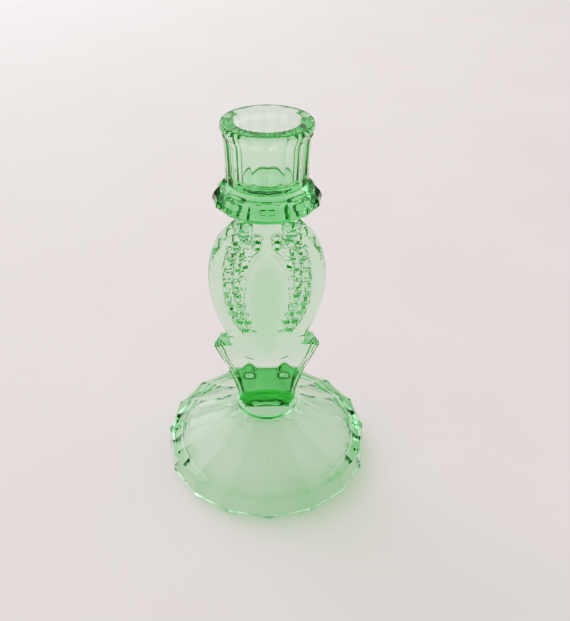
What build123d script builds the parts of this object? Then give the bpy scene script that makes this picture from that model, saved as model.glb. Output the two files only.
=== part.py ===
"""A pressed-glass candlestick for one standard household candle.

The real thing is one pressing. It is modelled here as the sections that the mould forms one above
the other: foot, boss, calyx, stem plaque with its relief, neck, drip pan, candle socket and lip.
Each section is a closed solid that meets the next one face to face. All lengths are millimetres,
+Z is up and the origin is the middle of the face that the foot stands on.
"""
from build123d import *
import math
import os

os.makedirs("parts", exist_ok=True)

# Driving dimensions
SIDES = 16  # flutes round the foot, the drip pan and the socket

FOOT_RADIUS = 49.5  # to a corner of the sixteen-sided rim
FOOT_GROUND_RADIUS = 49.0
FOOT_BEVEL_HEIGHT = 0.4
FOOT_WALL_RADIUS = 48.6
FOOT_WALL_HEIGHT = 11.4
FOOT_TOP_RADIUS = 15.6
FOOT_TOP_HEIGHT = 28.5
DOME = [(41.5, 14.3), (31.7, 18.5), (26.6, 20.9), (21.0, 24.5)]  # corner radius, height
HOLLOW_RADIUS = 45.6  # mouth of the hollow under the foot
HOLLOW_HEIGHT = 20.5
HOLLOW_PROFILE = [(42.0, 8.2), (30.0, 13.2), (16.0, 18.6)]

BOSS_RADIUS = 14.65
BOSS_TOP = 31.0
BOSS_ROUNDING = 1.1

CALYX_HALF_THICKNESS = 5.0
CALYX_FOOT_HALF_WIDTH = 13.3
CALYX_TIPS = [(24.3, 62.9), (21.5, 65.1), (21.6, 67.4)]
CALYX_TOP = (18.0, 70.3)  # where the calyx meets the edge of the plaque
CALYX_OUTLINE = [
    (CALYX_FOOT_HALF_WIDTH, BOSS_TOP),
    (13.9, 37.0),
    (17.3, 47.0),
    *CALYX_TIPS,
    CALYX_TOP,
]
CALYX_CHAMFER = 1.2

PLAQUE_BOTTOM = 50.0
PLAQUE_TOP = 127.0
PLAQUE_OUTLINE = [(11.0, 56.5), CALYX_TOP, (23.6, 86.3), (25.3, 100.4), (23.2, 113.6)]
PLAQUE_TOP_HALF_WIDTH = 13.6
PLAQUE_HALF_THICKNESS = 5.5
FACE_SCALE_ACROSS = 0.77  # the faces are drawn in from the edge, but not at the top
FACE_SCALE_UP = 0.93

PANEL_FOOT = (0.0, 57.5)
PANEL_APEX = (0.0, 113.0)
PANEL_SIDE = [(5.9, 64.0), (8.6, 78.0), (9.3, 95.0), (6.0, 106.0)]
PANEL_RISE = 1.4

BEAD_RADIUS = 1.85
BEAD_RISE = 1.1
BEAD_COLUMNS = [(16.4, 9), (12.4, 9)]  # widest offset of a column, and its number of beads
BEAD_LOW = 75.0
BEAD_HIGH = 112.0
COLUMN_MIDDLE = 97.0  # height at which the columns stand widest
COLUMN_REACH = 40.0

SCROLL_RADIUS = 2.1
SCROLL_BORE = 1.0
SCROLL_RISE = 0.9
SCROLL_HEIGHT = 117.5
SCROLL_OFFSETS = [3.6, 8.2]

KNOP_HALF_WIDTH = 12.6
KNOP_HALF_THICKNESS = 8.0
KNOP_BOTTOM = 124.5
KNOP_TOP = 132.0
KNOP_ROUNDING = 1.8
KNUCKLE_RADIUS = 3.5
KNUCKLE_OFFSET = 9.1
KNUCKLE_HEIGHT = 126.2
KNUCKLE_HALF_THICKNESS = 9.2

PAN_NECK_RADIUS = 13.0
PAN_LOWER_RADIUS = 21.4
PAN_LOWER_HEIGHT = 136.2
PAN_EDGE_RADIUS = 22.3
PAN_EDGE_HEIGHT = 137.4
PAN_UPPER_RADIUS = 21.6
PAN_UPPER_HEIGHT = 139.2
PAN_TOP_RADIUS = 16.9
PAN_TOP = 143.0

SOCKET_BASE_RADIUS = 16.5  # to a rib
SOCKET_MOUTH_RADIUS = 17.1
SOCKET_TOP = 163.0
BORE_RADIUS = 11.4
BORE_FLOOR = 146.0

LIP_TOP = 169.6
LIP_RADIUS = 18.5
LIP_MIDDLE = 166.6
LIP_LOWER_RADIUS = 17.0
LIP_CROWN_RADIUS = 15.2
LIP_MOUTH_RADIUS = 12.9
LIP_MOUTH_HEIGHT = 168.6
LIP_THROAT_HEIGHT = 166.4


def sixteen_sided(radius, height):
    """A sixteen-sided section with its corners at a radius, at a height."""
    with BuildSketch(Plane.XY.offset(height)) as section:
        RegularPolygon(radius=radius, side_count=SIDES)
    return section.sketch


def both_sides(points):
    """Points up the right side, then the same points down the left side."""
    return [*points, *[(-x, z) for x, z in reversed(points)]]


def plaque_section(depth, across, up):
    """The plaque's section in an upright plane: a curve up each side and a flat top.

    The depth is how far the plane stands in front of the middle. The two scales draw the outline
    in towards the middle of the plaque's top.
    """
    points = [(0.0, PLAQUE_BOTTOM), *PLAQUE_OUTLINE, (PLAQUE_TOP_HALF_WIDTH, PLAQUE_TOP)]
    right = [(x * across, PLAQUE_TOP + (z - PLAQUE_TOP) * up) for x, z in points]
    left = [(-x, z) for x, z in right]
    with BuildSketch(Plane.XZ.offset(depth)) as section:
        with BuildLine():
            Spline(*right)
            Line(right[-1], left[-1])
            Spline(*reversed(left))
        make_face()
    return section.sketch


def face_plane(side):
    """The plane of the plaque's front (side 1) or back (side -1) face, facing outwards."""
    middle = (0, -side * PLAQUE_HALF_THICKNESS, 0)
    return Plane(origin=middle, x_dir=(side, 0, 0), z_dir=(0, -side, 0))


def column_offset(widest, height):
    """How far a column of beads stands from the middle at a height."""
    across = (height - COLUMN_MIDDLE) / COLUMN_REACH
    return widest * math.sqrt(1 - across**2)


# Foot: sixteen flat flutes over a round hollow
with BuildPart() as foot:
    levels = [
        (FOOT_GROUND_RADIUS, 0),
        (FOOT_RADIUS, FOOT_BEVEL_HEIGHT),
        (FOOT_WALL_RADIUS, FOOT_WALL_HEIGHT),
        *DOME,
        (FOOT_TOP_RADIUS, FOOT_TOP_HEIGHT),
    ]
    loft(sections=[sixteen_sided(radius, height) for radius, height in levels], ruled=True)
    with BuildSketch(Plane.XZ):
        with BuildLine():
            Polyline((0, 0), (HOLLOW_RADIUS, 0), *HOLLOW_PROFILE, (0, HOLLOW_HEIGHT), close=True)
        make_face()
    revolve(axis=Axis.Z, mode=Mode.SUBTRACT)
foot.part.label = "foot"
export_step(foot.part, "parts/foot.step")

# Boss: the round disc that carries the stem
with BuildPart() as foot_boss:
    with BuildSketch(Plane.XY.offset(FOOT_TOP_HEIGHT)):
        Circle(BOSS_RADIUS)
    extrude(amount=BOSS_TOP - FOOT_TOP_HEIGHT)
    fillet(foot_boss.edges().sort_by(Axis.Z)[-1], radius=BOSS_ROUNDING)
foot_boss.part.label = "foot_boss"
export_step(foot_boss.part, "parts/foot_boss.step")

# Plaque: an upright egg-shaped slab, thinned to an edge all round, the same front and back
with BuildPart() as stem_plaque:
    loft(
        sections=[
            plaque_section(PLAQUE_HALF_THICKNESS, FACE_SCALE_ACROSS, FACE_SCALE_UP),
            plaque_section(0, 1, 1),
            plaque_section(-PLAQUE_HALF_THICKNESS, FACE_SCALE_ACROSS, FACE_SCALE_UP),
        ],
        ruled=True,
    )
stem_plaque.part.label = "stem_plaque"
export_step(stem_plaque.part, "parts/stem_plaque.step")

# Calyx: a stepped V that holds the lower end of the plaque
with BuildPart() as calyx:
    with BuildSketch(Plane.XZ):
        with BuildLine():
            Polyline(*both_sides(CALYX_OUTLINE), close=True)
        make_face()
    extrude(amount=CALYX_HALF_THICKNESS, both=True)
    rims = calyx.edges().filter_by(lambda e: abs(e.center().Y) > CALYX_HALF_THICKNESS - 0.01)
    slanted = rims.filter_by(lambda e: abs(e.center().X) > BOSS_RADIUS - 2 and e.center().Z < 60)
    chamfer(slanted, length=CALYX_CHAMFER)
    add(stem_plaque.part, mode=Mode.SUBTRACT)
calyx.part.label = "calyx"
export_step(calyx.part, "parts/calyx.step")

# Panels: the long pointed oval on each face of the plaque
with BuildPart() as stem_panels:
    for side in (1, -1):
        with BuildSketch(face_plane(side)):
            with BuildLine():
                Spline(PANEL_FOOT, *PANEL_SIDE, PANEL_APEX)
                Spline(PANEL_APEX, *[(-x, z) for x, z in reversed(PANEL_SIDE)], PANEL_FOOT)
            make_face()
        extrude(amount=PANEL_RISE)
stem_panels.part.label = "stem_panels"
export_step(stem_panels.part, "parts/stem_panels.step")

# Beads: columns of low domes on each side of each panel
with BuildPart() as stem_beads:
    for widest_offset, count in BEAD_COLUMNS:
        pitch = (BEAD_HIGH - BEAD_LOW) / (count - 1)
        heights = [BEAD_LOW + number * pitch for number in range(count)]
        offsets = [column_offset(widest_offset, height) for height in heights]
        right = [(x, 0, z) for x, z in zip(offsets, heights)]
        left = [(-x, 0, z) for x, _, z in right]
        for y in (PLAQUE_HALF_THICKNESS, -PLAQUE_HALF_THICKNESS):
            with Locations(*[(x, y, z) for x, _, z in right + left]):
                Cylinder(BEAD_RADIUS, 2 * BEAD_RISE, rotation=(90, 0, 0))
    Box(4 * FOOT_RADIUS, 2 * PLAQUE_HALF_THICKNESS, 4 * PLAQUE_TOP, mode=Mode.SUBTRACT)
stem_beads.part.label = "stem_beads"
export_step(stem_beads.part, "parts/stem_beads.step")

# Scrolls: a pair of curls above each face, with a small bud between them
with BuildPart() as stem_scrolls:
    for side in (1, -1):
        with BuildSketch(face_plane(side)):
            for offset_across in SCROLL_OFFSETS:
                with Locations((offset_across, SCROLL_HEIGHT), (-offset_across, SCROLL_HEIGHT)):
                    Circle(SCROLL_RADIUS)
                    Circle(SCROLL_BORE, mode=Mode.SUBTRACT)
        extrude(amount=SCROLL_RISE)
stem_scrolls.part.label = "stem_scrolls"
export_step(stem_scrolls.part, "parts/stem_scrolls.step")

# Knop: the flat cushion between the plaque and the drip pan, with a knuckle at each side
with BuildPart() as neck_knop:
    with BuildSketch(Plane.XY.offset(KNOP_BOTTOM)):
        Ellipse(KNOP_HALF_WIDTH, KNOP_HALF_THICKNESS)
    extrude(amount=KNOP_TOP - KNOP_BOTTOM)
    fillet(neck_knop.edges().sort_by(Axis.Z)[0], radius=KNOP_ROUNDING)
    with Locations((KNUCKLE_OFFSET, 0, KNUCKLE_HEIGHT), (-KNUCKLE_OFFSET, 0, KNUCKLE_HEIGHT)):
        Cylinder(KNUCKLE_RADIUS, 2 * KNUCKLE_HALF_THICKNESS, rotation=(90, 0, 0))
    add(stem_plaque.part, mode=Mode.SUBTRACT)
neck_knop.part.label = "neck_knop"
export_step(neck_knop.part, "parts/neck_knop.step")

# Drip pan: a sixteen-sided saucer, thin at its edge
with BuildPart() as drip_pan:
    levels = [
        (PAN_NECK_RADIUS, KNOP_TOP),
        (PAN_LOWER_RADIUS, PAN_LOWER_HEIGHT),
        (PAN_EDGE_RADIUS, PAN_EDGE_HEIGHT),
        (PAN_UPPER_RADIUS, PAN_UPPER_HEIGHT),
        (PAN_TOP_RADIUS, PAN_TOP),
    ]
    loft(sections=[sixteen_sided(radius, height) for radius, height in levels], ruled=True)
drip_pan.part.label = "drip_pan"
export_step(drip_pan.part, "parts/drip_pan.step")

# Candle socket: a fluted cup with a blind bore
with BuildPart() as candle_socket:
    loft(
        sections=[
            sixteen_sided(SOCKET_BASE_RADIUS, PAN_TOP),
            sixteen_sided(SOCKET_MOUTH_RADIUS, SOCKET_TOP),
        ],
        ruled=True,
    )
    with BuildSketch(Plane.XY.offset(BORE_FLOOR)):
        Circle(BORE_RADIUS)
    extrude(amount=SOCKET_TOP - BORE_FLOOR, mode=Mode.SUBTRACT)
candle_socket.part.label = "candle_socket"
export_step(candle_socket.part, "parts/candle_socket.step")

# Lip: the heavy rounded ring at the mouth
with BuildPart() as socket_lip:
    with BuildSketch(Plane.XZ):
        with BuildLine():
            Line((BORE_RADIUS, SOCKET_TOP), (LIP_LOWER_RADIUS, SOCKET_TOP))
            ThreePointArc(
                (LIP_LOWER_RADIUS, SOCKET_TOP),
                (LIP_RADIUS, LIP_MIDDLE),
                (LIP_CROWN_RADIUS, LIP_TOP),
            )
            ThreePointArc(
                (LIP_CROWN_RADIUS, LIP_TOP),
                (LIP_MOUTH_RADIUS, LIP_MOUTH_HEIGHT),
                (BORE_RADIUS, LIP_THROAT_HEIGHT),
            )
            Line((BORE_RADIUS, LIP_THROAT_HEIGHT), (BORE_RADIUS, SOCKET_TOP))
        make_face()
    revolve(axis=Axis.Z)
socket_lip.part.label = "socket_lip"
export_step(socket_lip.part, "parts/socket_lip.step")
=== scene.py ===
"""A pressed-glass candlestick for one household candle, in clear pale-green glass.

The real thing is one casting. It is built here as the sections that the mould forms one above the
other. Each section is a closed shell, and light passes straight through the faces where two
sections meet, so that together they look like one casting and each section still darkens the
light by the depth of glass that the light crosses. Sizes are in millimetres, and become metres
when a shell is closed.
"""

from __future__ import annotations

import logging
import math
from collections.abc import Callable, Sequence
from dataclasses import dataclass, field
from enum import Enum

import bmesh
import bpy
import numpy as np
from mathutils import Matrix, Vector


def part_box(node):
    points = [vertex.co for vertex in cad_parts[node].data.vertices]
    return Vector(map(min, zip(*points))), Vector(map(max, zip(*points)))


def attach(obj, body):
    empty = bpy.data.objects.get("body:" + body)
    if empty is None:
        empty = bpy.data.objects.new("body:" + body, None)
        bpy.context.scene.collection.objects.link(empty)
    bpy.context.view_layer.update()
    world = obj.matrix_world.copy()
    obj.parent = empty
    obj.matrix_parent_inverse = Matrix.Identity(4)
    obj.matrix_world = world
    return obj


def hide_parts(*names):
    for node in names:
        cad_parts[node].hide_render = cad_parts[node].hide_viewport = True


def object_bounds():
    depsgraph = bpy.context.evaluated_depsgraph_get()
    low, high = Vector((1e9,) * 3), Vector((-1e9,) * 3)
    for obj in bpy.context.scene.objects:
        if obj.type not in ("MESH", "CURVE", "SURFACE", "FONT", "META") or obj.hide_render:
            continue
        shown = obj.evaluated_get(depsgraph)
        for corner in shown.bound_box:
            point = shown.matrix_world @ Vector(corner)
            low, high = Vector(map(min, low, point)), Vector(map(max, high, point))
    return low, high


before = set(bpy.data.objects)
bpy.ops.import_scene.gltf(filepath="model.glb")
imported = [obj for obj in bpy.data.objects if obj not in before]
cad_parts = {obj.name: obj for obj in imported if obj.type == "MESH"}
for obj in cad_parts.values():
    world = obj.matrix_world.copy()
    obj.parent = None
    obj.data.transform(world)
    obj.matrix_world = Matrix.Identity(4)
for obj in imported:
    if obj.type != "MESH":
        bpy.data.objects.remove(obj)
CAD_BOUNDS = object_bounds()

LOG = logging.getLogger("candlestick")
BODY = "root"

MM = 0.001
SIDES = 16  # flutes round the foot, the drip pan and the socket
SIDE_ANGLE = 2 * math.pi / SIDES
PER_SIDE = 14  # points on each side of a ring
BOSS_FOOT = 29.1  # height where the boss stands on the foot
SOCKET_FOOT = (15.8, 145.1)  # radius and height of the ring where the socket stands on the pan
MEETING_GAP = 0.01  # left between two sections, so that light meets their faces in order
MERGE_REACH = 2e-7  # metres within which two points of a shell are one
CREASE_ANGLE = math.radians(38)
SLOPE_STEP = 0.1  # how far above and below a height its slope is measured

FILM_WHITE = 2.0  # the brightest light that the film tells apart
FILM_RESPONSE = [  # brightness in the room, and the brightness that the picture gives it
    (0.05, 0.024),
    (0.135, 0.096),
    (0.37, 0.37),
    (0.61, 0.58),
    (1.0, 0.783),
    (1.5, 0.93),
]

Point = tuple[float, float]
Direction = tuple[float, float, float]
Colour = tuple[float, float, float, float]


def box_mm(node: str) -> tuple[np.ndarray, np.ndarray]:
    """Give the lowest and highest corners of a CAD node in millimetres.

    Args:
        node: The CAD node's name.

    Returns:
        The lowest corner and the highest corner.
    """
    low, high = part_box(node)
    return np.array(low) / MM, np.array(high) / MM


def cad_size(node: str, corner: int, axis: int) -> float:
    """Make a field whose value is one number of a CAD node's box.

    Args:
        node: The CAD node's name.
        corner: 0 for the lowest corner and 1 for the highest.
        axis: 0, 1 or 2 for x, y or z.

    Returns:
        The field, which holds millimetres.
    """
    return field(default_factory=lambda: float(box_mm(node)[corner][axis]))


def softened(corners: list[Point], reach: float, steps: int = 5) -> np.ndarray:
    """Round off the inner corners of a chain of straight lines.

    Args:
        corners: The chain's corners.
        reach: How far before and after each corner its rounding starts and ends.
        steps: How many points each rounding has.

    Returns:
        The points of the rounded chain, one per row.
    """
    chain = np.array(corners, float)
    rounded = [chain[0]]
    for before, corner, after in zip(chain, chain[1:], chain[2:]):
        start = corner + (before - corner) * min(reach / np.linalg.norm(before - corner), 0.45)
        end = corner + (after - corner) * min(reach / np.linalg.norm(after - corner), 0.45)
        for t in np.linspace(0, 1, steps):
            rounded.append((1 - t) ** 2 * start + 2 * t * (1 - t) * corner + t**2 * end)
    rounded.append(chain[-1])
    return np.array(rounded)


def flowing(points: list[Point], steps: int = 8) -> np.ndarray:
    """Draw a smooth curve through points.

    Args:
        points: The points that the curve passes through.
        steps: How many pieces each stretch between two points is cut into.

    Returns:
        The points of the curve, one per row.
    """
    knots = np.array(points, float)
    ends = np.vstack([2 * knots[0] - knots[1], knots, 2 * knots[-1] - knots[-2]])
    t = np.linspace(0, 1, steps, endpoint=False)[:, None]
    stretches = []
    for a, b, c, d in zip(ends, ends[1:], ends[2:], ends[3:]):
        bend = (2 * a - 5 * b + 4 * c - d) * t**2 + (3 * b - a - 3 * c + d) * t**3
        stretches.append(0.5 * (2 * b + (c - a) * t + bend))
    return np.vstack([*stretches, knots[-1:]])


def spaced(chain: np.ndarray, spacing: float) -> np.ndarray:
    """Add points to a chain so that no two neighbours are further apart than a spacing.

    Args:
        chain: The chain's points, one per row.
        spacing: The widest gap to leave.

    Returns:
        The points of the finer chain, one per row.
    """
    finer = [chain[:1]]
    for a, b in zip(chain, chain[1:]):
        count = max(1, math.ceil(np.linalg.norm(b - a) / spacing))
        finer.append(a + (b - a) * np.arange(1, count + 1)[:, None] / count)
    return np.vstack(finer)


def eased(value: np.ndarray) -> np.ndarray:
    """Turn a rise from 0 to 1 into one that starts and ends gently."""
    held = np.clip(value, 0, 1)
    return held * held * (3 - 2 * held)


def rise(value: np.ndarray, start: float, end: float) -> np.ndarray:
    """Go gently from 0 at a start to 1 at an end, which may be the lower of the two."""
    return eased((value - start) / (end - start))


def width_at(z: np.ndarray, outline: Sequence[Point] | np.ndarray) -> np.ndarray:
    """Read how far an outline is from the middle at each height.

    Args:
        z: The heights.
        outline: Distance from the middle and height of the outline's points, lowest first.

    Returns:
        The distance at each height.
    """
    widths, heights = np.array(outline).T
    return np.interp(z, heights, widths)


def slope_of(width: Callable[[np.ndarray], np.ndarray], z: np.ndarray) -> np.ndarray:
    """Measure how fast an outline widens at each height.

    Args:
        width: Gives the outline's distance from the middle at each height.
        z: The heights.

    Returns:
        The slope at each height.
    """
    return (width(z + SLOPE_STEP) - width(z - SLOPE_STEP)) / (2 * SLOPE_STEP)


def even_angles(count: int) -> np.ndarray:
    """Give angles evenly spaced round a turned section."""
    return np.arange(count) * 2 * math.pi / count


def ribbed_angles(per_side: int) -> np.ndarray:
    """Give angles round a sixteen-sided section, closer together near its ribs.

    Args:
        per_side: How many angles each side has.

    Returns:
        The angles, rising from 0.
    """
    across = (1 - np.cos(np.linspace(0, math.pi, per_side, endpoint=False))) / 2
    return ((np.arange(SIDES)[:, None] + across) * SIDE_ANGLE).ravel()


def across_side(angles: np.ndarray) -> np.ndarray:
    """Tell how far across its side each angle is: -1 and 1 at the ribs and 0 midway."""
    return (angles / SIDE_ANGLE) % 1 * 2 - 1


def flat_side(angles: np.ndarray) -> np.ndarray:
    """Give the radius of a straight-sided section as a share of its radius at a rib."""
    return math.cos(SIDE_ANGLE / 2) / np.cos(across_side(angles) * SIDE_ANGLE / 2)


def flute_depth(angles: np.ndarray, softness: float = 0.06) -> np.ndarray:
    """Give the depth of a flute as a share of its depth midway between two ribs.

    Args:
        angles: The angles round the section.
        softness: How much of the flute's width the rounding of a rib takes.

    Returns:
        The share at each angle, 0 at a rib and 1 midway.
    """
    from_rib = 1 - np.abs(across_side(angles))
    from_rib = np.sqrt(from_rib**2 + softness**2) - softness
    return 1 - (1 - from_rib) ** 2


@dataclass
class Turning:
    """Rings of points about the upright axis, from one end of a turned surface to the other.

    Attributes:
        angles: The angles of each ring's points.
        rings: The rings, each a row of points.
    """

    angles: np.ndarray
    rings: list[np.ndarray] = field(default_factory=list)

    def add(
        self,
        profile: np.ndarray,
        straight: float | np.ndarray = 0.0,
        flute: float | np.ndarray = 0.0,
        drop: float | np.ndarray = 0.0,
    ) -> Turning:
        """Add a ring for each point of a profile.

        Args:
            profile: Radius and height of each ring, one per row.
            straight: 1 for straight sides between the ribs and 0 for a round ring.
            flute: How far the sides are drawn in midway between the ribs.
            drop: How far the sides are lowered midway between the ribs.

        Returns:
            This turning.
        """
        rows = np.asarray(profile, float)
        radii, heights = rows[:, :1], rows[:, 1:]
        shape = 1 + straight * (flat_side(self.angles) - 1)
        depth = flute_depth(self.angles)
        radii = radii * shape - np.reshape(flute, (-1, 1)) * depth
        heights = heights - np.reshape(drop, (-1, 1)) * depth
        self.rings.extend(self.round_axis(radii, heights))
        return self

    def add_outline(self, outline: np.ndarray, height: float) -> Turning:
        """Add one level ring that follows an outline round the axis.

        Args:
            outline: The outline's points, in any order.
            height: The ring's height.

        Returns:
            This turning.
        """
        bearings = np.arctan2(outline[:, 1], outline[:, 0]) % (2 * math.pi)
        reaches = np.hypot(outline[:, 0], outline[:, 1])
        order = np.argsort(bearings)
        radii = np.interp(self.angles, bearings[order], reaches[order], period=2 * math.pi)
        self.rings.append(self.round_axis(radii, np.array(height)))
        return self

    def round_axis(self, radii: np.ndarray, heights: np.ndarray) -> np.ndarray:
        """Turn the radii and heights at the angles into points."""
        across = [radii * np.cos(self.angles), radii * np.sin(self.angles)]
        return np.stack([*across, np.broadcast_to(heights, radii.shape)], -1)

    def points(self) -> np.ndarray:
        """Give all the rings' points, as rows of rings."""
        return np.array(self.rings)


class Touch(Enum):
    """What lies against a sheet of a shell; the glass lets light straight into a section."""

    AIR = 0.0
    SECTION = 1.0


class GlassShell:
    """Gathers sheets of points and closes them into one shell of glass."""

    def __init__(self, name: str) -> None:
        """Start an empty shell.

        Args:
            name: The name of the object that the shell becomes.
        """
        self.name = name
        self.points: list[np.ndarray] = []
        self.faces: list[np.ndarray] = []
        self.meets: list[np.ndarray] = []
        self.count = 0

    def sheet(self, points: np.ndarray, ring: bool = False, touch: Touch = Touch.AIR) -> None:
        """Add a sheet of faces.

        Args:
            points: The sheet's points, in rows and columns.
            ring: True if each row runs right round, so that its last point joins its first.
            touch: What lies against the sheet.
        """
        rows, columns = points.shape[:2]
        index = np.arange(rows * columns).reshape(rows, columns) + self.count
        if ring:
            index = np.hstack([index, index[:, :1]])
        corners = [index[:-1, :-1], index[:-1, 1:], index[1:, 1:], index[1:, :-1]]
        quads = np.stack(corners, -1).reshape(-1, 4)
        self.points.append(points.reshape(-1, 3))
        self.faces.append(quads)
        self.meets.append(np.full(len(quads), touch.value))
        self.count += rows * columns

    def fill(self, turning: Turning, end: int) -> None:
        """Shut one end of a turned surface with a level disc that meets another section.

        Args:
            turning: The turned surface.
            end: 0 for its first ring and -1 for its last.
        """
        ring = turning.rings[end]
        disc = Turning(turning.angles, [ring]).add([(0, ring[0, 2])])
        self.sheet(disc.points(), ring=True, touch=Touch.SECTION)

    def close(self) -> bpy.types.Object:
        """Join the sheets along their edges and turn every face outwards.

        Returns:
            The finished object, in metres.
        """
        mesh = bpy.data.meshes.new(self.name)
        points = np.vstack(self.points) * MM
        mesh.from_pydata(points.tolist(), [], np.vstack(self.faces).tolist())
        attribute = mesh.attributes.new("meets", "FLOAT", "FACE")
        attribute.data.foreach_set("value", np.concatenate(self.meets).astype(np.float32))
        shell = bmesh.new()
        shell.from_mesh(mesh)
        bmesh.ops.remove_doubles(shell, verts=shell.verts, dist=MERGE_REACH)
        bmesh.ops.recalc_face_normals(shell, faces=shell.faces)
        if shell.calc_volume(signed=True) < 0:
            bmesh.ops.reverse_faces(shell, faces=shell.faces)
        ajar = sum(len(edge.link_faces) != 2 for edge in shell.edges)
        if ajar:
            LOG.warning("%s has %d edges that are not shut", self.name, ajar)
        shell.to_mesh(mesh)
        shell.free()
        mesh.shade_smooth()
        mesh.set_sharp_from_angle(angle=CREASE_ANGLE)
        piece = bpy.data.objects.new(self.name, mesh)
        bpy.context.scene.collection.objects.link(piece)
        return piece


def set_stops(ramp: bpy.types.ColorRamp, stops: Sequence[tuple[float, Colour]]) -> None:
    """Set the stops of a colour ramp.

    Args:
        ramp: The ramp, as new.
        stops: Place and colour of each stop, in rising order.
    """
    while len(ramp.elements) < len(stops):
        ramp.elements.new(1.0)
    for element, (place, colour) in zip(ramp.elements, stops):
        element.position = place
        element.color = colour


def noise(tree: bpy.types.NodeTree, scale: float, detail: float) -> bpy.types.NodeSocket:
    """Add a noise that is fixed to the object.

    Args:
        tree: The material's nodes.
        scale: How fine the noise is.
        detail: How many finer layers it has.

    Returns:
        The socket that gives the noise.
    """
    place = tree.nodes.new("ShaderNodeTexCoord")
    texture = tree.nodes.new("ShaderNodeTexNoise")
    texture.inputs["Scale"].default_value = scale
    texture.inputs["Detail"].default_value = detail
    tree.links.new(place.outputs["Object"], texture.inputs["Vector"])
    return texture.outputs["Fac"]


@dataclass(frozen=True)
class Mottle:
    """Soft patches that run from one colour into another.

    Attributes:
        scale: How fine the patches are.
        detail: How many finer layers they have.
        dark: Level of the noise up to which the patches have the darker colour, and the colour.
        light: Level of the noise from which they have the lighter colour, and the colour.
    """

    scale: float
    detail: float
    dark: tuple[float, Colour]
    light: tuple[float, Colour]

    def colour(self, tree: bpy.types.NodeTree) -> bpy.types.NodeSocket:
        """Add the patches to a material.

        Args:
            tree: The material's nodes.

        Returns:
            The socket that gives their colour.
        """
        shade = tree.nodes.new("ShaderNodeValToRGB")
        set_stops(shade.color_ramp, [self.dark, self.light])
        tree.links.new(noise(tree, self.scale, self.detail), shade.inputs["Fac"])
        return shade.outputs["Color"]


@dataclass(frozen=True)
class GreenGlass:
    """Clear pale-green pressed glass, faintly rippled by the mould.

    Attributes:
        index: How strongly it bends light.
        passed: What it passes of red, green and blue, for the depth that the density sets.
        density: How fast it darkens light, per metre.
        to_board: What each face passes of the light that falls through it onto the board.
        ripple_depth: How deep the ripples of its skin are, in metres.
        ripple_scale: How fine the ripples are.
        streaks: The faint streaks in its skin.
    """

    index: float = 1.5
    passed: Colour = (0.26, 0.835, 0.37, 1.0)
    density: float = 62.0
    to_board: Colour = (0.90, 0.93, 0.90, 1.0)
    ripple_depth: float = 0.00006
    ripple_scale: float = 130.0
    streaks: Mottle = Mottle(
        45.0, 3.0, (0.35, (0.955, 0.985, 0.96, 1.0)), (0.7, (0.99, 1.0, 0.99, 1.0))
    )

    def material(self) -> bpy.types.Material:
        """Make the material.

        Returns:
            The glass, which lets light straight through where two sections meet.
        """
        material = bpy.data.materials.new("pressed_green_glass")
        material.use_nodes = True
        tree = material.node_tree
        nodes, links = tree.nodes, tree.links
        nodes.clear()

        ripple = nodes.new("ShaderNodeBump")
        ripple.inputs["Strength"].default_value = 1.0
        ripple.inputs["Distance"].default_value = self.ripple_depth
        links.new(noise(tree, self.ripple_scale, 2.0), ripple.inputs["Height"])
        skin = nodes.new("ShaderNodeBsdfPrincipled")
        skin.inputs["Transmission Weight"].default_value = 1.0
        skin.inputs["IOR"].default_value = self.index
        skin.inputs["Roughness"].default_value = 0.0
        links.new(self.streaks.colour(tree), skin.inputs["Base Color"])
        links.new(ripple.outputs["Normal"], skin.inputs["Normal"])

        ray = nodes.new("ShaderNodeLightPath").outputs
        onto_board = self.greater(tree, ray["Is Shadow Ray"], ray["Is Diffuse Ray"])
        dimmed = nodes.new("ShaderNodeMix")
        dimmed.data_type = "RGBA"
        dimmed.inputs["A"].default_value = (1.0, 1.0, 1.0, 1.0)
        dimmed.inputs["B"].default_value = self.to_board
        links.new(onto_board, dimmed.inputs["Factor"])
        through = nodes.new("ShaderNodeBsdfTransparent")
        links.new(dimmed.outputs["Result"], through.inputs["Color"])

        meets = nodes.new("ShaderNodeAttribute")
        meets.attribute_name = "meets"
        choose = nodes.new("ShaderNodeMixShader")
        links.new(self.greater(tree, onto_board, meets.outputs["Fac"]), choose.inputs["Fac"])
        links.new(skin.outputs["BSDF"], choose.inputs[1])
        links.new(through.outputs["BSDF"], choose.inputs[2])

        depth = nodes.new("ShaderNodeVolumeAbsorption")
        depth.inputs["Color"].default_value = self.passed
        depth.inputs["Density"].default_value = self.density
        out = nodes.new("ShaderNodeOutputMaterial")
        links.new(choose.outputs["Shader"], out.inputs["Surface"])
        links.new(depth.outputs["Volume"], out.inputs["Volume"])
        return material

    @staticmethod
    def greater(
        tree: bpy.types.NodeTree, one: bpy.types.NodeSocket, other: bpy.types.NodeSocket
    ) -> bpy.types.NodeSocket:
        """Give the greater of two values.

        Args:
            tree: The material's nodes.
            one: One value.
            other: The other value.

        Returns:
            The socket that gives the greater.
        """
        node = tree.nodes.new("ShaderNodeMath")
        node.operation = "MAXIMUM"
        tree.links.new(one, node.inputs[0])
        tree.links.new(other, node.inputs[1])
        return node.outputs["Value"]


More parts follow.
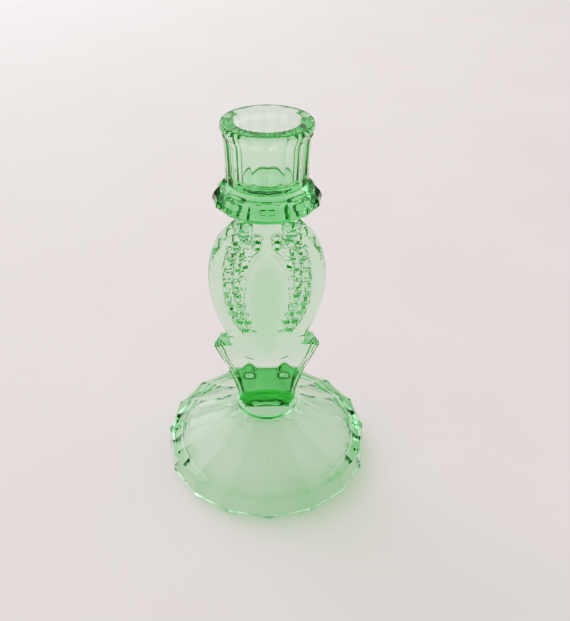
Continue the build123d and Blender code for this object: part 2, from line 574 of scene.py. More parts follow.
@dataclass(kw_only=True)
class GlassSection:
    """One section of the casting.

    Attributes:
        name: The section's name.
        stands_for: The CAD nodes that it is shown in place of, if not just the one of its name.
    """

    name: str
    stands_for: tuple[str, ...] = ()

    def build(self) -> bpy.types.Object:
        """Build the section's closed shell; each kind of section has its own way."""
        raise NotImplementedError

    def place(self, glass: bpy.types.Material) -> bpy.types.Object:
        """Build the section, dress it in glass and set it on the candlestick's body.

        Args:
            glass: The material to dress it in.

        Returns:
            The placed object.
        """
        piece = self.build()
        piece.data.materials.append(glass)
        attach(piece, BODY)
        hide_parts(*(self.stands_for or (self.name,)))
        return piece


@dataclass(kw_only=True)
class Foot(GlassSection):
    """The wide foot: sixteen shallow flutes over a round hollow, with a solid rim.

    Attributes:
        rim_radius: Radius to a rib of the rim.
        boss_radius: Radius where the dome runs in under the boss.
        top: Height where the boss starts.
        crown: Height of the hollow's middle.
        hollow_edge: Radius and height where the hollow turns down inside the rim.
        ground: Radius of the inner edge of the ring that the foot stands on.
        wall_height: Height of the rim's wall at a rib.
        flute: How far the wall is drawn in midway between two ribs.
    """

    name: str = "foot"
    rim_radius: float = cad_size("foot", 1, 0)
    boss_radius: float = cad_size("foot_boss", 1, 0)
    top: float = BOSS_FOOT
    crown: float = 23.2
    hollow_edge: Point = (40.0, 10.2)
    ground: float = 46.0
    wall_height: float = 11.2
    flute: float = 0.45

    def build(self) -> bpy.types.Object:
        """Build the hollow, the ground face, the wall and the fluted dome, and cap the top."""
        hollow = [(0, self.crown), (8, 22.8), (15, 21), (21, 18.6), (26.6, 16), (31.7, 14)]
        hollow += [(37, 11.8), self.hollow_edge]
        ground, rim, wall_height = self.ground, self.rim_radius, self.wall_height
        edge = [self.hollow_edge, (42.0, 8.4), (ground - 0.8, 0.5), (ground - 0.3, 0), (ground, 0)]
        step = (rim - 4.0, 12.9)
        wall = [(ground, 0), (rim - 0.5, 0), (rim, 0.4), (rim - 0.8, wall_height - 0.4)]
        wall += [(rim - 1.5, wall_height + 0.5), step]
        dome = [step, (41.5, 14.3), (31.7, 18.5), (21.0, 24.5), (self.boss_radius + 0.5, self.top)]

        turning = Turning(ribbed_angles(PER_SIDE))
        turning.add(flowing(hollow, 4))
        turning.add(spaced(softened(edge, 1.2), 1.5)[1:])
        outer = spaced(softened(wall, 0.5), 1.2)[1:]
        flute = self.flute * rise(outer[:, 0], ground, ground + 2.0)
        turning.add(outer, straight=1.0, flute=flute, drop=self.shelf_drop(outer))
        top = flowing(dome, 8)[1:]
        turning.add(top, straight=1.0, drop=self.dome_drop(top))
        turning.add([(self.boss_radius, self.top)])

        shell = GlassShell(self.name)
        shell.sheet(turning.points(), ring=True)
        shell.fill(turning, -1)
        return shell.close()

    def dome_drop(self, rings: np.ndarray) -> np.ndarray:
        """Give how far the flutes sink between the ribs at each ring of the dome."""
        return np.interp(rings[:, 0], [15.5, 18, 45], [0.0, 0.3, 0.9])

    def shelf_drop(self, rings: np.ndarray) -> np.ndarray:
        """Give how far the top of the wall sinks between the ribs."""
        return 0.9 * rise(rings[:, 1], self.wall_height - 1.5, self.wall_height + 1.0)


@dataclass(kw_only=True)
class Boss(GlassSection):
    """The round disc between the foot and the neck of the stem.

    Attributes:
        neck: The outline of the stem's neck where it stands on the disc.
        radius: The disc's radius.
        inner_radius: Radius where its upper face runs in to the neck.
        top: Height of its upper face.
        bottom: Height of its lower face.
        rounding: How far its upper edge is rounded.
    """

    name: str = "foot_boss"
    neck: np.ndarray
    radius: float = cad_size("foot_boss", 1, 0)
    inner_radius: float = 13.4
    top: float = cad_size("foot_boss", 1, 2)
    bottom: float = BOSS_FOOT + MEETING_GAP
    rounding: float = 0.9

    def build(self) -> bpy.types.Object:
        """Build the disc with a window in each face where a neighbour meets it."""
        side = [(self.radius, self.bottom), (self.radius, self.top), (self.inner_radius, self.top)]
        skin = Turning(even_angles(320)).add(softened(side, self.rounding, 7))
        skin.add_outline(self.neck, self.top)
        shell = GlassShell(self.name)
        shell.sheet(skin.points(), ring=True)
        shell.fill(skin, 0)
        shell.fill(skin, -1)
        return shell.close()


@dataclass(frozen=True)
class Bead:
    """One low dome of the beaded columns.

    Attributes:
        across: Its distance from the middle of the stem.
        height: Its height.
        half_width: Half its width.
        half_height: Half its height on the face.
        rise: How far it stands out of the face.
        ledge: Height of the steep slope at its upper end.
    """

    across: float
    height: float
    half_width: float
    half_height: float
    rise: float
    ledge: float = 1.1

    def swell(self, x: np.ndarray, z: np.ndarray) -> np.ndarray:
        """Give how far the bead stands out at each place.

        Args:
            x: Distance of each place from the middle of the stem.
            z: Height of each place.

        Returns:
            The rise at each place, 0 outside the bead.
        """
        over = z - self.height
        away = np.abs((x - self.across) / self.half_width) ** 2.6
        away += (np.minimum(over, 0) / self.half_height) ** 2
        ledge = np.clip((self.half_height - over) / self.ledge, 0, 1)
        return self.rise * np.minimum(np.sqrt(np.clip(1 - away, 0, 1)), ledge)


@dataclass(frozen=True)
class Curl:
    """One curl of the scrolls: a thin raised ring with a dimple or a button in it.

    Attributes:
        across: Its distance from the middle of the stem.
        height: Its height.
        radius: Its radius to the middle of the raised line.
        line: The width of the raised line.
        rise: How far the line stands out.
        button: How far its middle stands out.
    """

    across: float
    height: float
    radius: float
    line: float = 1.0
    rise: float = 0.75
    button: float = 0.0

    def swell(self, x: np.ndarray, z: np.ndarray) -> np.ndarray:
        """Give how far the curl stands out at each place.

        Args:
            x: Distance of each place from the middle of the stem.
            z: Height of each place.

        Returns:
            The rise at each place, 0 outside the curl.
        """
        away = np.hypot(x - self.across, z - self.height)
        ring = self.rise * np.clip(1 - ((away - self.radius) / self.line) ** 2, 0, 1)
        middle = self.button * np.sqrt(np.clip(1 - (away / self.radius) ** 2, 0, 1))
        return np.maximum(ring, middle)


@dataclass(frozen=True)
class StemRelief:
    """How wide the flat stem is at each height, and how thick at each place of its front.

    Attributes:
        foot: Height where the neck of the calyx stands on the boss.
        neck_top: Height at which the arms of the calyx part round the plaque.
        shelf: Height at which the tops of the calyx's arms start to slope.
        arm_top: Height of the upper ends of the arms.
        top: Height where the plaque ends and the neck under the drip pan starts.
        collar_start: Height from which that neck flares towards the pan.
        collar_top: Height where the neck meets the drip pan.
        face: Half thickness of the flat faces of the calyx and the plaque.
        ground: Half thickness of the sunk band where the beads stand.
        flare: How far the flare widens the half thickness of the neck.
        swell: How far the middle of the panel swells out of the face.
        panel_foot: Height of the panel's lower point.
        panel_tip: Height of its upper point.
        panel_width: Half the panel's greatest width.
        edge_reach: How far from its edge the plaque is rounded.
        edge_depth: How much the rounding takes off the half thickness.
        band_middle: Height at which the beaded band is widest.
        band_width: Half its width there.
        band_up: How far the band reaches above that height.
        band_down: How far it reaches below.
        bead_count: How many rows of beads the band has.
        bead_top: Height of the first row.
        bead_pitch: How far the second row is below the first.
        bead_shrink: How much closer each row is than the one before.
        bead_rise: How far the beads stand out.
    """

    foot: float = 31.0
    neck_top: float = 52.0
    shelf: float = 66.1
    arm_top: float = 70.3
    top: float = 127.0
    collar_start: float = 127.5
    collar_top: float = 132.0
    face: float = 5.0
    ground: float = 4.1
    flare: float = 6.0
    swell: float = 2.4
    panel_foot: float = 52.5
    panel_tip: float = 114.2
    panel_width: float = 10.6
    edge_reach: float = 0.7
    edge_depth: float = 1.2
    band_middle: float = 99.0
    band_width: float = 19.3
    band_up: float = 28.2
    band_down: float = 31.1
    bead_count: int = 10
    bead_top: float = 117.3
    bead_pitch: float = 5.5
    bead_shrink: float = 0.17
    bead_rise: float = 1.8

    @property
    def calyx_side(self) -> list[Point]:
        """Give the calyx's side, from the boss to the tip of the arm."""
        return [(13.4, self.foot), (13.5, 34), (14.0, 37), (17.3, 47), (24.3, 62.9)]

    @property
    def cradle(self) -> list[Point]:
        """Give the line along which an arm of the calyx holds the plaque."""
        return [(0, self.neck_top), (11, 56.5), (15.2, 63), (17.9, self.arm_top)]

    def waist(self, z: np.ndarray) -> np.ndarray:
        """Give the half thickness of the calyx's neck and arms at each height."""
        side = [(7.8, self.foot), (7.2, 33.5), (6.1, 37.5), (4.7, 41.8), (3.2, 46), (2.3, 49)]
        side += [(2.2, 50.3), (2.6, 52.5), (3.9, 57), (4.9, 61.5), (self.face, 63)]
        return width_at(z, flowing(side, 6))

    def calyx_half_width(self, z: np.ndarray) -> np.ndarray:
        """Give half the width of the calyx at each height."""
        arm = [(21.5, 65.1), (21.6, 67.4), (17.9, self.arm_top)]
        return width_at(z, [*self.calyx_side, *arm])

    def calyx_line(self, z: np.ndarray) -> np.ndarray:
        """Give the calyx's slanting side at each height, carried on past its tip."""
        return width_at(z, [*self.calyx_side, (27.6, 70.4)])

    def parting(self, z: np.ndarray) -> np.ndarray:
        """Give how far from the middle the plaque meets the calyx at each height."""
        return width_at(z, self.cradle)

    def plaque_half_width(self, z: np.ndarray) -> np.ndarray:
        """Give half the width of the plaque, and of the neck above it, at each height."""
        side = [self.cradle[-1], (21.5, 79.2), (23.6, 86.3), (24.95, 93.7), (25.3, 100.4)]
        side += [(24.9, 107), (23.3, 113.6), (20.9, 119.4), (17.8, 123.4), (14.2, 126.2)]
        side += [(12.7, self.top), (12.4, 129.5), (12.8, self.collar_top)]
        return width_at(z, np.vstack([self.cradle[:-1], flowing(side, 10)]))

    def panel_half_width(self, z: np.ndarray) -> np.ndarray:
        """Give half the width of the long pointed panel at each height, below 0 outside it."""
        side = [(0, self.panel_foot), (5.4, 59.3), (8.2, 65), (9.6, 71.5), (10.4, 79)]
        side += [(self.panel_width, 87), (10.2, 93), (8.9, 99), (6.6, 105), (3.7, 110.4)]
        side += [(0, self.panel_tip)]
        beyond = np.maximum(z - self.panel_tip, self.panel_foot - z)
        return np.where(beyond > 0, -0.9 * beyond, width_at(z, flowing(side, 10)))

    def band_half_width(self, z: np.ndarray) -> np.ndarray:
        """Give how far from the middle the beaded band reaches at each height."""
        reach = np.where(z > self.band_middle, self.band_up, self.band_down)
        return self.band_width * np.sqrt(np.clip(1 - ((z - self.band_middle) / reach) ** 2, 0, 1))

    def beads(self) -> list[Bead]:
        """Lay out the beads, largest at the outside of the band.

        Returns:
            The beads of one half of one face.
        """
        beads = []
        height = self.bead_top
        for row in range(self.bead_count):
            pitch = self.bead_pitch - self.bead_shrink * row
            outer = float(self.band_half_width(np.array(height)))
            inner = float(self.panel_half_width(np.array(height)))
            size = 0.46 * pitch
            beads.append(Bead(outer - 2.1, height, 2.0, size, self.bead_rise))
            if row:
                beads.append(Bead(outer - 5.9, height, 1.7, 0.92 * size, self.bead_rise))
            room = outer - inner - 8.4
            if row and room > 0.8:
                width = min(room, 2.4) / 2
                beads.append(Bead(outer - 8.0 - width, height, width, 0.5 * size, 0.6))
            height -= pitch
        return beads

    def knuckles(self) -> list[Bead]:
        """Lay out the two heavy knuckles of the scrolls, close under the drip pan."""
        return [Bead(9.7, 125.4, 3.7, 3.4, 4.2, ledge=2.5), Bead(9.7, 122.6, 2.2, 1.6, 1.6)]

    def curls(self) -> list[Curl]:
        """Lay out the scrolls above the panel, from the middle outwards."""
        inner = Curl(4.2, 117.6, 1.8, line=0.8, rise=1.5)
        return [inner, Curl(8.6, 118.5, 1.7, line=0.8, rise=1.5, button=1.9)]

    def bevelled(self, inset: np.ndarray, z: np.ndarray) -> np.ndarray:
        """Give the plain plaque's half thickness, which falls towards its edge.

        Args:
            inset: How far each place is inside the plaque's edge.
            z: Height of each place.

        Returns:
            The half thickness, with the bevel and the rounded edge.
        """
        marks = [60, 74, 100, 107, 111, 113, 118, 124.5, 127]
        bevel = np.interp(z, marks, [0.4, 6.5, 6.5, 3.0, 1.0, 1.3, 2.4, 2.7, 1.2])
        edge = np.interp(z, marks, [4.9, 3.4, 3.4, 2.8, 1.4, 0.4, 0.3, 0.3, 3.5])
        power = np.interp(z, [104, 111], [1.3, 1.0])
        level = self.face - (self.face - edge) * np.clip(1 - inset / bevel, 0, 1) ** power
        curve = np.sqrt(np.clip(1 - (1 - np.clip(inset / self.edge_reach, 0, 1)) ** 2, 0, 1))
        return level - self.edge_depth * (1 - curve) * np.clip((level - 0.6) / 2, 0, 1)

    def panel(self, x: np.ndarray, z: np.ndarray) -> np.ndarray:
        """Give how far the panel and the fine line round it stand out at each place.

        Args:
            x: Distance of each place from the middle of the stem.
            z: Height of each place.

        Returns:
            The rise at each place.
        """
        half_width = self.panel_half_width(z)
        crown = np.clip(1 - (x / np.maximum(half_width, 0.1)) ** 2, 0, 1)
        swell = self.swell * np.clip(half_width / self.panel_width, 0, 1) ** 2 * crown**2
        line = 0.42 * np.clip(1 - ((x - half_width) / 0.6) ** 2, 0, 1)
        line *= 0.35 + 0.65 * rise(z, 64, 70) * rise(z, 110, 96)
        return np.maximum(line, swell * rise(z, 116, 96))

    def bud(self, x: np.ndarray, z: np.ndarray) -> np.ndarray:
        """Give the rise of the small drop that hangs between the curls."""
        half_width = 0.35 + 1.0 * np.clip((z - 120.5) / 5, 0, 1)
        across = np.clip(1 - (x / half_width) ** 2, 0, 1)
        return 0.4 * np.sqrt(across) * rise(z, 120.3, 121.3) * rise(z, 126, 125.2)

    def plaque(self, x: np.ndarray, z: np.ndarray) -> np.ndarray:
        """Give the plaque's half thickness at each place.

        Args:
            x: Distance of each place from the middle of the stem.
            z: Height of each place.

        Returns:
            The half thickness, with the bevel, panel, beads and scrolls.
        """
        width = self.plaque_half_width(z)
        slope = np.clip(slope_of(self.plaque_half_width, z), -4, 4)
        level = self.bevelled(np.clip((width - x) / np.sqrt(1 + slope**2), 0, None), z)
        sinking = (x < self.band_half_width(z)) * rise(x - self.panel_half_width(z), 0.5, 3.0)
        sinking = sinking * rise(z, 70, 74) * rise(z, 117, 112)
        sunk = level - np.clip(level - self.ground, 0, None) * sinking

        relief = np.maximum(self.panel(x, z), self.bud(x, z))
        for part in [*self.beads(), *self.knuckles(), *self.curls()]:
            relief = np.maximum(relief, part.swell(x, z))
        thickness = sunk + relief * np.clip(level / self.face, 0, 1)
        thickness = thickness * self.waist(z) / self.face
        return np.where(x > width + 0.001, 0, thickness)

    def calyx(self, x: np.ndarray, z: np.ndarray) -> np.ndarray:
        """Give the calyx's half thickness at each place.

        Args:
            x: Distance of each place from the middle of the stem.
            z: Height of each place.

        Returns:
            The half thickness, with the stepped sides and the sloping shelf on top.
        """
        inset = (self.calyx_line(z) - x) / np.sqrt(1 + slope_of(self.calyx_line, z) ** 2)
        steps = 0.5 + 1.4 * rise(inset, 0, 0.25) + 1.6 * rise(inset, 1.3, 1.6)
        steps += (self.face - 3.5) * rise(inset, 2.6, 2.9)
        ridge = 67.4 + (21.6 - x) * 0.784
        climb = np.clip((z - self.shelf) / np.maximum(ridge - self.shelf, 0.1), 0, 1)
        level = np.minimum(steps, self.face - (self.face - 0.5) * climb)
        lobe = 3.2 * np.exp(-(((x - 8.3) / 2.4) ** 2)) * rise(z, 38, 44)
        return np.where(z > self.arm_top, 0, level * self.waist(z - lobe) / self.face)

    def half_thickness(self, x: np.ndarray, z: np.ndarray) -> np.ndarray:
        """Give the stem's half thickness at each place, left and right alike.

        Args:
            x: Place across the stem.
            z: Height of each place.

        Returns:
            The half thickness of the calyx, the plaque or the neck there.
        """
        x = np.abs(x)
        plaque = self.plaque(x, z)
        calyx = self.calyx(x, z)
        stem = np.where(z < self.neck_top + 0.3, calyx, np.maximum(plaque, calyx))
        share = np.clip((z - self.collar_start) / (self.collar_top - self.collar_start), 0, 1)
        oval = np.sqrt(np.clip(1 - (x / np.maximum(self.plaque_half_width(z), 0.1)) ** 2, 0, 1))
        neck = np.maximum(plaque, (4 + self.flare * share**2) * oval)
        upper = np.where(z > self.collar_start, neck, plaque)
        return np.where(z < self.arm_top, stem, upper)

    def outline_at(self, z: float) -> np.ndarray:
        """Give the stem's outline as seen from above, at its foot or at its top.

        Args:
            z: The height.

        Returns:
            The outline's points.
        """
        width = self.calyx_half_width if z < self.neck_top else self.plaque_half_width
        half_width = float(width(np.array(z)))
        x = half_width * np.sin(np.linspace(-math.pi / 2, math.pi / 2, 241))
        y = self.half_thickness(x, np.full_like(x, z))
        end = np.linspace(-1, 1, 21)[1:-1] * y[0]
        right = np.stack([np.full_like(end, half_width), end], -1)
        left = np.stack([np.full_like(end, -half_width), end], -1)
        return np.vstack([np.stack([x, y], -1), np.stack([x, -y], -1), right, left])


def front_and_back(relief: StemRelief, x: np.ndarray, z: np.ndarray) -> list[np.ndarray]:
    """Lay the points of a stem section's front and back.

    Args:
        relief: The stem's relief.
        x: Place across the stem of each point, in rows and columns.
        z: Height of each point, in the same rows and columns.

    Returns:
        The front sheet and the back sheet.
    """
    depth = relief.half_thickness(x, z)
    return [np.stack([x, side * depth, z], -1) for side in (-1, 1)]


@dataclass(kw_only=True)
class Calyx(GlassSection):
    """The neck and the two stepped arms that hold the plaque.

    Attributes:
        relief: The stem's relief.
        row_pitch: Height between two rows of points on the neck.
        arm_pitch: Height between two rows on the arms.
        base: Height of the neck's lowest part, whose rows are closer together.
    """

    name: str = "calyx"
    relief: StemRelief
    row_pitch: float = 0.3
    arm_pitch: float = 0.15
    base: float = 1.5

    def heights(self) -> tuple[np.ndarray, np.ndarray]:
        """Give the heights of the rows below and above the place where the arms part."""
        relief = self.relief
        foot = relief.foot + MEETING_GAP
        base = np.linspace(foot, foot + self.base, 9)[:-1]
        neck = spaced(np.array([[foot + self.base], [relief.neck_top]]), self.row_pitch)[:, 0]
        marks = [relief.neck_top, 62.9, 65.1, relief.shelf, 67.4, relief.arm_top]
        arms = spaced(np.array(marks)[:, None], self.arm_pitch)[:, 0]
        return np.concatenate([base, neck]), arms

    def across(self, z: np.ndarray, inner: np.ndarray, outer: np.ndarray) -> np.ndarray:
        """Place the points of each row of one arm, closest together at its stepped side.

        Args:
            z: Height of each row.
            inner: Where each row starts.
            outer: Where each row ends.

        Returns:
            The place of each point, in rows and columns.
        """
        insets = [3.2, 2.95, 2.85, 2.75, 2.65, 2.55, 2.2, 1.9, 1.65, 1.55, 1.45, 1.35, 1.25]
        insets += [0.9, 0.55, 0.3, 0.2, 0.1, 0.0]
        steps = np.array(insets) / insets[0]
        stretch = np.sqrt(1 + slope_of(self.relief.calyx_line, z) ** 2)
        taken = np.minimum(insets[0] * stretch, 0.6 * (outer - inner))
        side = outer[:, None] - steps * taken[:, None]
        shares = np.linspace(0, 1, 44)[:-1]
        middle = inner[:, None] + (outer - taken - inner)[:, None] * shares
        return np.hstack([middle, side])

    def build(self) -> bpy.types.Object:
        """Build each half's front and back, and close the sides, the ends and the parting."""
        relief = self.relief
        shell = GlassShell(self.name)
        neck, arms = self.heights()
        for z, parted in ((neck, False), (arms, True)):
            inner = relief.parting(z) * parted
            x = self.across(z, inner, relief.calyx_half_width(z))
            z_grid = np.broadcast_to(z[:, None], x.shape)
            for side in (1, -1):
                front, back = front_and_back(relief, side * x, z_grid)
                shell.sheet(front)
                shell.sheet(back)
                shell.sheet(np.stack([front[:, -1], back[:, -1]], 1))
                if parted:
                    shell.sheet(np.stack([front[:, 0], back[:, 0]], 1), touch=Touch.SECTION)
                else:
                    shell.sheet(np.stack([front[0], back[0]]), touch=Touch.SECTION)
        return shell.close()


@dataclass(kw_only=True)
class Plaque(GlassSection):
    """The upright egg-shaped plaque with its panels, beads and scrolls.

    Attributes:
        relief: The stem's relief.
        row_pitch: Height between two rows of points.
        held_pitch: Height between two rows where the calyx holds it.
        shoulder: Height of its upper end, whose rows are closer together.
    """

    name: str = "stem"
    stands_for: tuple[str, ...] = ("stem_plaque", "stem_panels", "stem_beads", "stem_scrolls")
    relief: StemRelief
    row_pitch: float = 0.33
    held_pitch: float = 0.25
    shoulder: float = 4.0

    def heights(self) -> np.ndarray:
        """Give the heights of the rows, closest together near the top."""
        relief = self.relief
        bends = np.array([[relief.neck_top], [relief.arm_top], [relief.top - self.shoulder]])
        held = spaced(bends[:2], self.held_pitch)[:, 0]
        body = spaced(bends[1:], self.row_pitch)[1:, 0]
        turn = np.linspace(0, math.pi / 2, 20)[1:]
        heights = np.concatenate([held, body, relief.top - self.shoulder * (1 - np.sin(turn))])
        heights[-1] = relief.top
        return heights

    def across(self) -> np.ndarray:
        """Give the places of a row's points as shares of its half width.

        Returns:
            The shares from -1 to 1, closest together near the edges.
        """
        near_edge = 1 - np.array([1.5, 1.1, 0.7, 0.4, 0.18, 0.05, 0]) / 24
        half = np.concatenate([np.linspace(0, 1 - 1.9 / 24, 72), near_edge])
        return np.concatenate([-half[::-1], half[1:]])

    def build(self) -> bpy.types.Object:
        """Build the front and the back, and close the parting, the sides and the top."""
        relief = self.relief
        z = self.heights()
        half_width = relief.plaque_half_width(z)
        held = z <= relief.arm_top
        half_width = np.where(held, np.maximum(half_width - MEETING_GAP, 0), half_width)
        x = half_width[:, None] * self.across()
        front, back = front_and_back(relief, x, np.broadcast_to(z[:, None], x.shape))
        shell = GlassShell(self.name)
        shell.sheet(front)
        shell.sheet(back)
        split = int(held.sum())
        for edge in (0, -1):
            pair = np.stack([front[:, edge], back[:, edge]], 1)
            shell.sheet(pair[:split], touch=Touch.SECTION)
            shell.sheet(pair[split - 1 :])
        shell.sheet(np.stack([front[-1], back[-1]]), touch=Touch.SECTION)
        return shell.close()


@dataclass(kw_only=True)
class Neck(GlassSection):
    """The short flat neck between the plaque and the drip pan.

    Attributes:
        relief: The stem's relief, which runs on up the neck.
        row_pitch: Height between two rows of points.
    """

    name: str = "neck_knop"
    relief: StemRelief
    row_pitch: float = 0.3

    def build(self) -> bpy.types.Object:
        """Build the front and the back, and close the sides and both ends."""
        relief = self.relief
        ends = [[relief.top + MEETING_GAP], [relief.collar_top]]
        z = spaced(np.array(ends), self.row_pitch)[:, 0]
        shares = np.sin(np.linspace(-math.pi / 2, math.pi / 2, 121))
        x = relief.plaque_half_width(z)[:, None] * shares
        front, back = front_and_back(relief, x, np.broadcast_to(z[:, None], x.shape))
        shell = GlassShell(self.name)
        shell.sheet(front)
        shell.sheet(back)
        for edge in (0, -1):
            shell.sheet(np.stack([front[:, edge], back[:, edge]], 1))
            shell.sheet(np.stack([front[edge], back[edge]]), touch=Touch.SECTION)
        return shell.close()


@dataclass(kw_only=True)
class DripPan(GlassSection):
    """The sixteen-sided drip pan under the socket.

    Attributes:
        neck: The outline of the neck where it meets the underside.
        bottom: Height where the neck meets it.
        base_radius: Radius of the flat part of the underside.
        edge_radius: Radius to a corner of its edge.
        socket: Radius and height of the ring where the socket stands on it.
        flute: How far its sides are drawn in midway between two corners.
    """

    name: str = "drip_pan"
    neck: np.ndarray
    bottom: float = cad_size("drip_pan", 0, 2)
    base_radius: float = 13.6
    edge_radius: float = cad_size("drip_pan", 1, 0)
    socket: Point = SOCKET_FOOT
    flute: float = 0.15

    def build(self) -> bpy.types.Object:
        """Build the underside, the thin edge and the upper side with its step."""
        edge = self.edge_radius
        base = (self.base_radius, self.bottom + MEETING_GAP)
        profile = [base, (16.8, 133.6), (edge - 0.9, 136.4), (edge, 137.5), (edge - 0.1, 138.3)]
        profile += [(edge - 0.8, 140.0), (18.5, 143.2), (17.2, 143.9), self.socket]
        chain = spaced(softened(profile, 0.45), 0.9)[1:-1]
        sided = rise(chain[:, :1], 18.6, 19.4)
        turning = Turning(ribbed_angles(PER_SIDE)).add_outline(self.neck, base[1]).add([base])
        turning.add(chain, straight=sided, flute=self.flute * sided).add([self.socket])
        shell = GlassShell(self.name)
        shell.sheet(turning.points(), ring=True)
        shell.fill(turning, 0)
        shell.fill(turning, -1)
        return shell.close()


@dataclass(kw_only=True)
class CandleSocket(GlassSection):
    """The fluted cup with a blind bore for the candle.

    Attributes:
        foot: Radius and height of the ring where it stands on the drip pan.
        top: Height where the lip starts.
        bore_radius: Radius of the bore.
        floor: Height of the bore's floor.
        flute: Depth of its flutes.
    """

    name: str = "candle_socket"
    foot: Point = SOCKET_FOOT
    top: float = cad_size("candle_socket", 1, 2)
    bore_radius: float = 11.4
    floor: float = 146.0
    flute: float = 0.62

    def build(self) -> bpy.types.Object:
        """Build the foot ring, the fluted outside and the bore, and cap both ends."""
        outside = [(16.3, 145.3), (16.5, 146.2), (16.6, 153.0), (17.1, self.top)]
        bore = [(self.bore_radius + 0.2, self.top), (self.bore_radius, 158.0)]
        bore += [(self.bore_radius - 0.2, self.floor + 1.2), (9.6, self.floor), (0, self.floor)]
        turning = Turning(ribbed_angles(PER_SIDE))
        turning.add([(self.foot[0], self.foot[1] + MEETING_GAP)])
        turning.add(spaced(np.array(outside), 0.8), flute=self.flute)
        inside = Turning(turning.angles).add(spaced(softened(bore, 1.0), 1.5))
        shell = GlassShell(self.name)
        shell.sheet(turning.points(), ring=True)
        shell.sheet(inside.points(), ring=True)
        brim = np.stack([turning.rings[-1], inside.rings[0]])
        shell.sheet(brim, ring=True, touch=Touch.SECTION)
        shell.fill(turning, 0)
        return shell.close()


@dataclass(kw_only=True)
class SocketLip(GlassSection):
    """The heavy rounded ring at the mouth of the socket, scalloped underneath.

    Attributes:
        bottom: Height where the socket meets it.
        top: Height of its crown.
        radius: Its widest radius.
        mouth: Radius of its mouth.
        flute: Depth of its scallops, which carry on the socket's flutes.
    """

    name: str = "socket_lip"
    bottom: float = cad_size("socket_lip", 0, 2)
    top: float = cad_size("socket_lip", 1, 2)
    radius: float = cad_size("socket_lip", 1, 0)
    mouth: float = 12.9
    flute: float = 0.62

    def build(self) -> bpy.types.Object:
        """Build the outside, the crown and the throat, and cap the lower face."""
        widest, top, base = self.radius, self.top, self.bottom + MEETING_GAP
        profile = [(17.1, base), (17.4, base + 1.2), (widest - 0.1, base + 2.9)]
        profile += [(widest, base + 4.3), (widest - 0.6, top - 0.1), (15.5, top)]
        profile += [(self.mouth, top - 0.1), (12.5, top - 1.4), (11.6, base)]
        chain = spaced(softened(profile, 0.6, 6), 0.8)
        outside = rise(chain[:, 0], 15.6, 16.4)
        flute = self.flute * outside * rise(chain[:, 1], top - 1.2, top - 3.7)
        turning = Turning(ribbed_angles(PER_SIDE)).add(chain, flute=flute)
        shell = GlassShell(self.name)
        shell.sheet(turning.points(), ring=True)
        ends = np.stack([turning.rings[0], turning.rings[-1]])
        shell.sheet(ends, ring=True, touch=Touch.SECTION)
        return shell.close()


@dataclass(frozen=True)
class PaleBoard:
    """The smooth pale board that the candlestick stands on.

    Attributes:
        mottle: Its faint patches of colour.
        roughness: How matt it is, from 0 to 1.
    """

    mottle: Mottle = Mottle(
        9.0, 5.0, (0.3, (0.835, 0.735, 0.725, 1.0)), (0.7, (0.875, 0.775, 0.765, 1.0))
    )
    roughness: float = 0.75

    def material(self) -> bpy.types.Material:
        """Make the material.

        Returns:
            A matt board with a faint mottle.
        """
        material = bpy.data.materials.new("pale_board")
        material.use_nodes = True
        tree = material.node_tree
        skin = tree.nodes["Principled BSDF"]
        skin.inputs["Roughness"].default_value = self.roughness
        tree.links.new(self.mottle.colour(tree), skin.inputs["Base Color"])
        return material


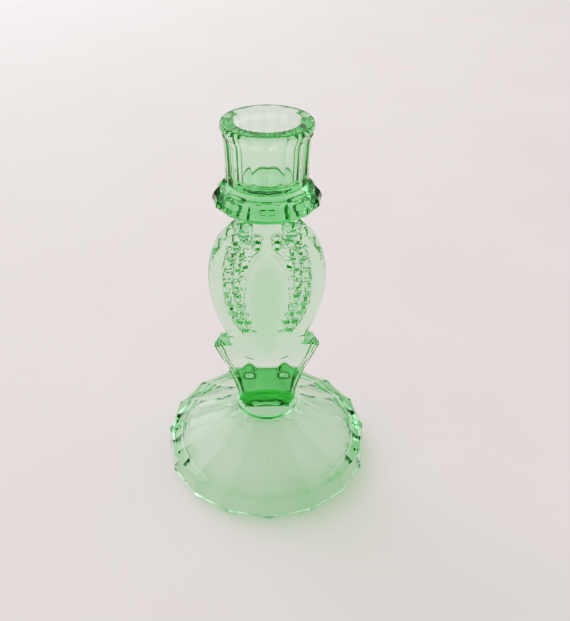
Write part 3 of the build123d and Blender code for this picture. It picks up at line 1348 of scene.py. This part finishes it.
@dataclass
class Studio:
    """The floor, the lights and the camera round the candlestick.

    Attributes:
        floor_size: Length of the floor's sides, in metres.
        sky: Height in the sky, from 0 at the horizon to 1 overhead, and the colour there.
        sky_strength: How bright the sky is.
        window: The way to a bright window.
        window_strength: How much brighter than the sky the window is.
        dim_side: The way to the dim side of the room.
        dim_share: Share of the sky's brightness that is left there.
        lamp_place: Where the lamp hangs, in metres.
        camera_place: Where the camera stands, in millimetres.
    """

    floor_size: float = 12.0
    sky: tuple[tuple[float, Colour], ...] = (
        (0.0, (0.11, 0.11, 0.11, 1.0)),
        (0.15, (0.25, 0.2425, 0.2425, 1.0)),
        (0.42, (0.86, 0.8342, 0.8342, 1.0)),
        (0.95, (0.95, 0.93, 0.93, 1.0)),
    )
    sky_strength: float = 1.26
    window: Direction = (-0.42, 0.70, 0.58)
    window_strength: float = 1.8
    dim_side: Direction = (0.12, -0.78, 0.61)
    dim_share: float = 0.12
    lamp_place: Direction = (-1.0, 1.5, 1.0)
    camera_place: Direction = (-7.94, -262.62, 263.94)

    def lay_floor(self, board: bpy.types.Material) -> bpy.types.Object:
        """Lay the floor under the foot.

        Args:
            board: The floor's material.

        Returns:
            The floor.
        """
        half = self.floor_size / 2
        mesh = bpy.data.meshes.new("floor")
        corners = [(-half, -half, 0), (half, -half, 0), (half, half, 0), (-half, half, 0)]
        mesh.from_pydata(corners, [], [(0, 1, 2, 3)])
        mesh.materials.append(board)
        floor = bpy.data.objects.new("floor", mesh)
        floor.location.z = CAD_BOUNDS[0][2] - 0.0001
        bpy.context.scene.collection.objects.link(floor)
        return floor

    def light_sky(self) -> None:
        """Fill the room with soft light, brightest overhead and dim near the horizon."""
        world = bpy.data.worlds.new("studio_room")
        bpy.context.scene.world = world
        world.use_nodes = True
        tree = world.node_tree
        nodes, links = tree.nodes, tree.links
        place = nodes.new("ShaderNodeTexCoord").outputs["Generated"]
        split = nodes.new("ShaderNodeSeparateXYZ")
        links.new(place, split.inputs["Vector"])
        ramp = nodes.new("ShaderNodeValToRGB")
        set_stops(ramp.color_ramp, self.sky)
        links.new(split.outputs["Z"], ramp.inputs["Fac"])
        room = nodes["Background"]
        links.new(ramp.outputs["Color"], room.inputs["Color"])
        levels = (self.sky_strength, self.dim_share * self.sky_strength)
        links.new(self.towards(tree, self.dim_side, (0.35, 0.85), levels), room.inputs["Strength"])

        window = nodes.new("ShaderNodeBackground")
        glow = self.towards(tree, self.window, (0.88, 0.98), (0.0, self.window_strength))
        links.new(glow, window.inputs["Strength"])
        both = nodes.new("ShaderNodeAddShader")
        links.new(room.outputs["Background"], both.inputs[0])
        links.new(window.outputs["Background"], both.inputs[1])
        links.new(both.outputs["Shader"], nodes["World Output"].inputs["Surface"])

    def towards(
        self, tree: bpy.types.NodeTree, way: Direction, nearness: Point, levels: Point
    ) -> bpy.types.NodeSocket:
        """Make a level that changes smoothly towards one side of the room.

        Args:
            tree: The room's nodes.
            way: The way to that side.
            nearness: Cosine of the angle to that way where the change starts and ends.
            levels: The level before the change and after it.

        Returns:
            The socket that gives the level.
        """
        dot = tree.nodes.new("ShaderNodeVectorMath")
        dot.operation = "DOT_PRODUCT"
        place = tree.nodes.new("ShaderNodeTexCoord")
        tree.links.new(place.outputs["Generated"], dot.inputs[0])
        dot.inputs[1].default_value = way
        change = tree.nodes.new("ShaderNodeMapRange")
        change.interpolation_type = "SMOOTHSTEP"
        change.inputs["From Min"].default_value = nearness[0]
        change.inputs["From Max"].default_value = nearness[1]
        change.inputs["To Min"].default_value = levels[0]
        change.inputs["To Max"].default_value = levels[1]
        tree.links.new(dot.outputs["Value"], change.inputs["Value"])
        return change.outputs["Result"]

    def hang_lamp(self) -> None:
        """Hang the soft lamp, facing the candlestick and out of the glass's sight."""
        lamp = bpy.data.lights.new("soft_lamp", "AREA")
        lamp.energy = 34.0
        lamp.size = 1.6
        holder = bpy.data.objects.new("soft_lamp", lamp)
        holder.location = self.lamp_place
        aim = np.array([0, 0, 0.08]) - np.array(self.lamp_place)
        tilt = math.atan2(math.hypot(aim[0], aim[1]), -aim[2])
        turn = math.atan2(aim[0], -aim[1]) + math.pi
        holder.rotation_euler = (tilt, 0, turn)
        holder.visible_glossy = False
        holder.visible_transmission = False
        bpy.context.scene.collection.objects.link(holder)

    def set_camera(self) -> None:
        """Stand the camera in front of the candlestick, looking down at it."""
        view = bpy.data.cameras.new("camera")
        view.lens = 41.33
        view.sensor_width = 36.0
        view.shift_x = 0.0322
        holder = bpy.data.objects.new("camera", view)
        holder.location = [distance * MM for distance in self.camera_place]
        holder.rotation_euler = (math.radians(55.25), 0.0, math.radians(-1.55))
        bpy.context.scene.collection.objects.link(holder)
        bpy.context.scene.camera = holder

    def set_film(self) -> None:
        """Give the picture a film's soft response to bright light."""
        settings = bpy.context.scene.view_settings
        settings.view_transform = "Standard"
        response = settings.curve_mapping
        response.white_level = (FILM_WHITE, FILM_WHITE, FILM_WHITE)
        film = response.curves[3]
        film.points[1].location = (1.0, 1.0)
        for bright, shown in FILM_RESPONSE:
            film.points.new(bright / FILM_WHITE, shown)
        response.update()
        settings.use_curve_mapping = True

    def set_light_paths(self) -> None:
        """Let light cross as many glass faces as the casting has."""
        cycles = bpy.context.scene.cycles
        cycles.max_bounces = 28
        cycles.transmission_bounces = 26
        cycles.transparent_max_bounces = 40
        cycles.glossy_bounces = 6
        cycles.diffuse_bounces = 3
        cycles.caustics_refractive = True
        cycles.caustics_reflective = False


def main() -> None:
    """Build the candlestick and the studio."""
    logging.basicConfig(level=logging.INFO, format="%(name)s: %(message)s")
    glass = GreenGlass().material()
    relief = StemRelief()
    sections = [
        Foot(),
        Boss(neck=relief.outline_at(relief.foot)),
        Calyx(relief=relief),
        Plaque(relief=relief),
        Neck(relief=relief),
        DripPan(neck=relief.outline_at(relief.collar_top)),
        CandleSocket(),
        SocketLip(),
    ]
    for section in sections:
        piece = section.place(glass)
        LOG.info("%s: %d faces", piece.name, len(piece.data.polygons))
    studio = Studio()
    studio.lay_floor(PaleBoard().material())
    studio.light_sky()
    studio.hang_lamp()
    studio.set_camera()
    studio.set_film()
    studio.set_light_paths()


if __name__ == "__main__":
    main()
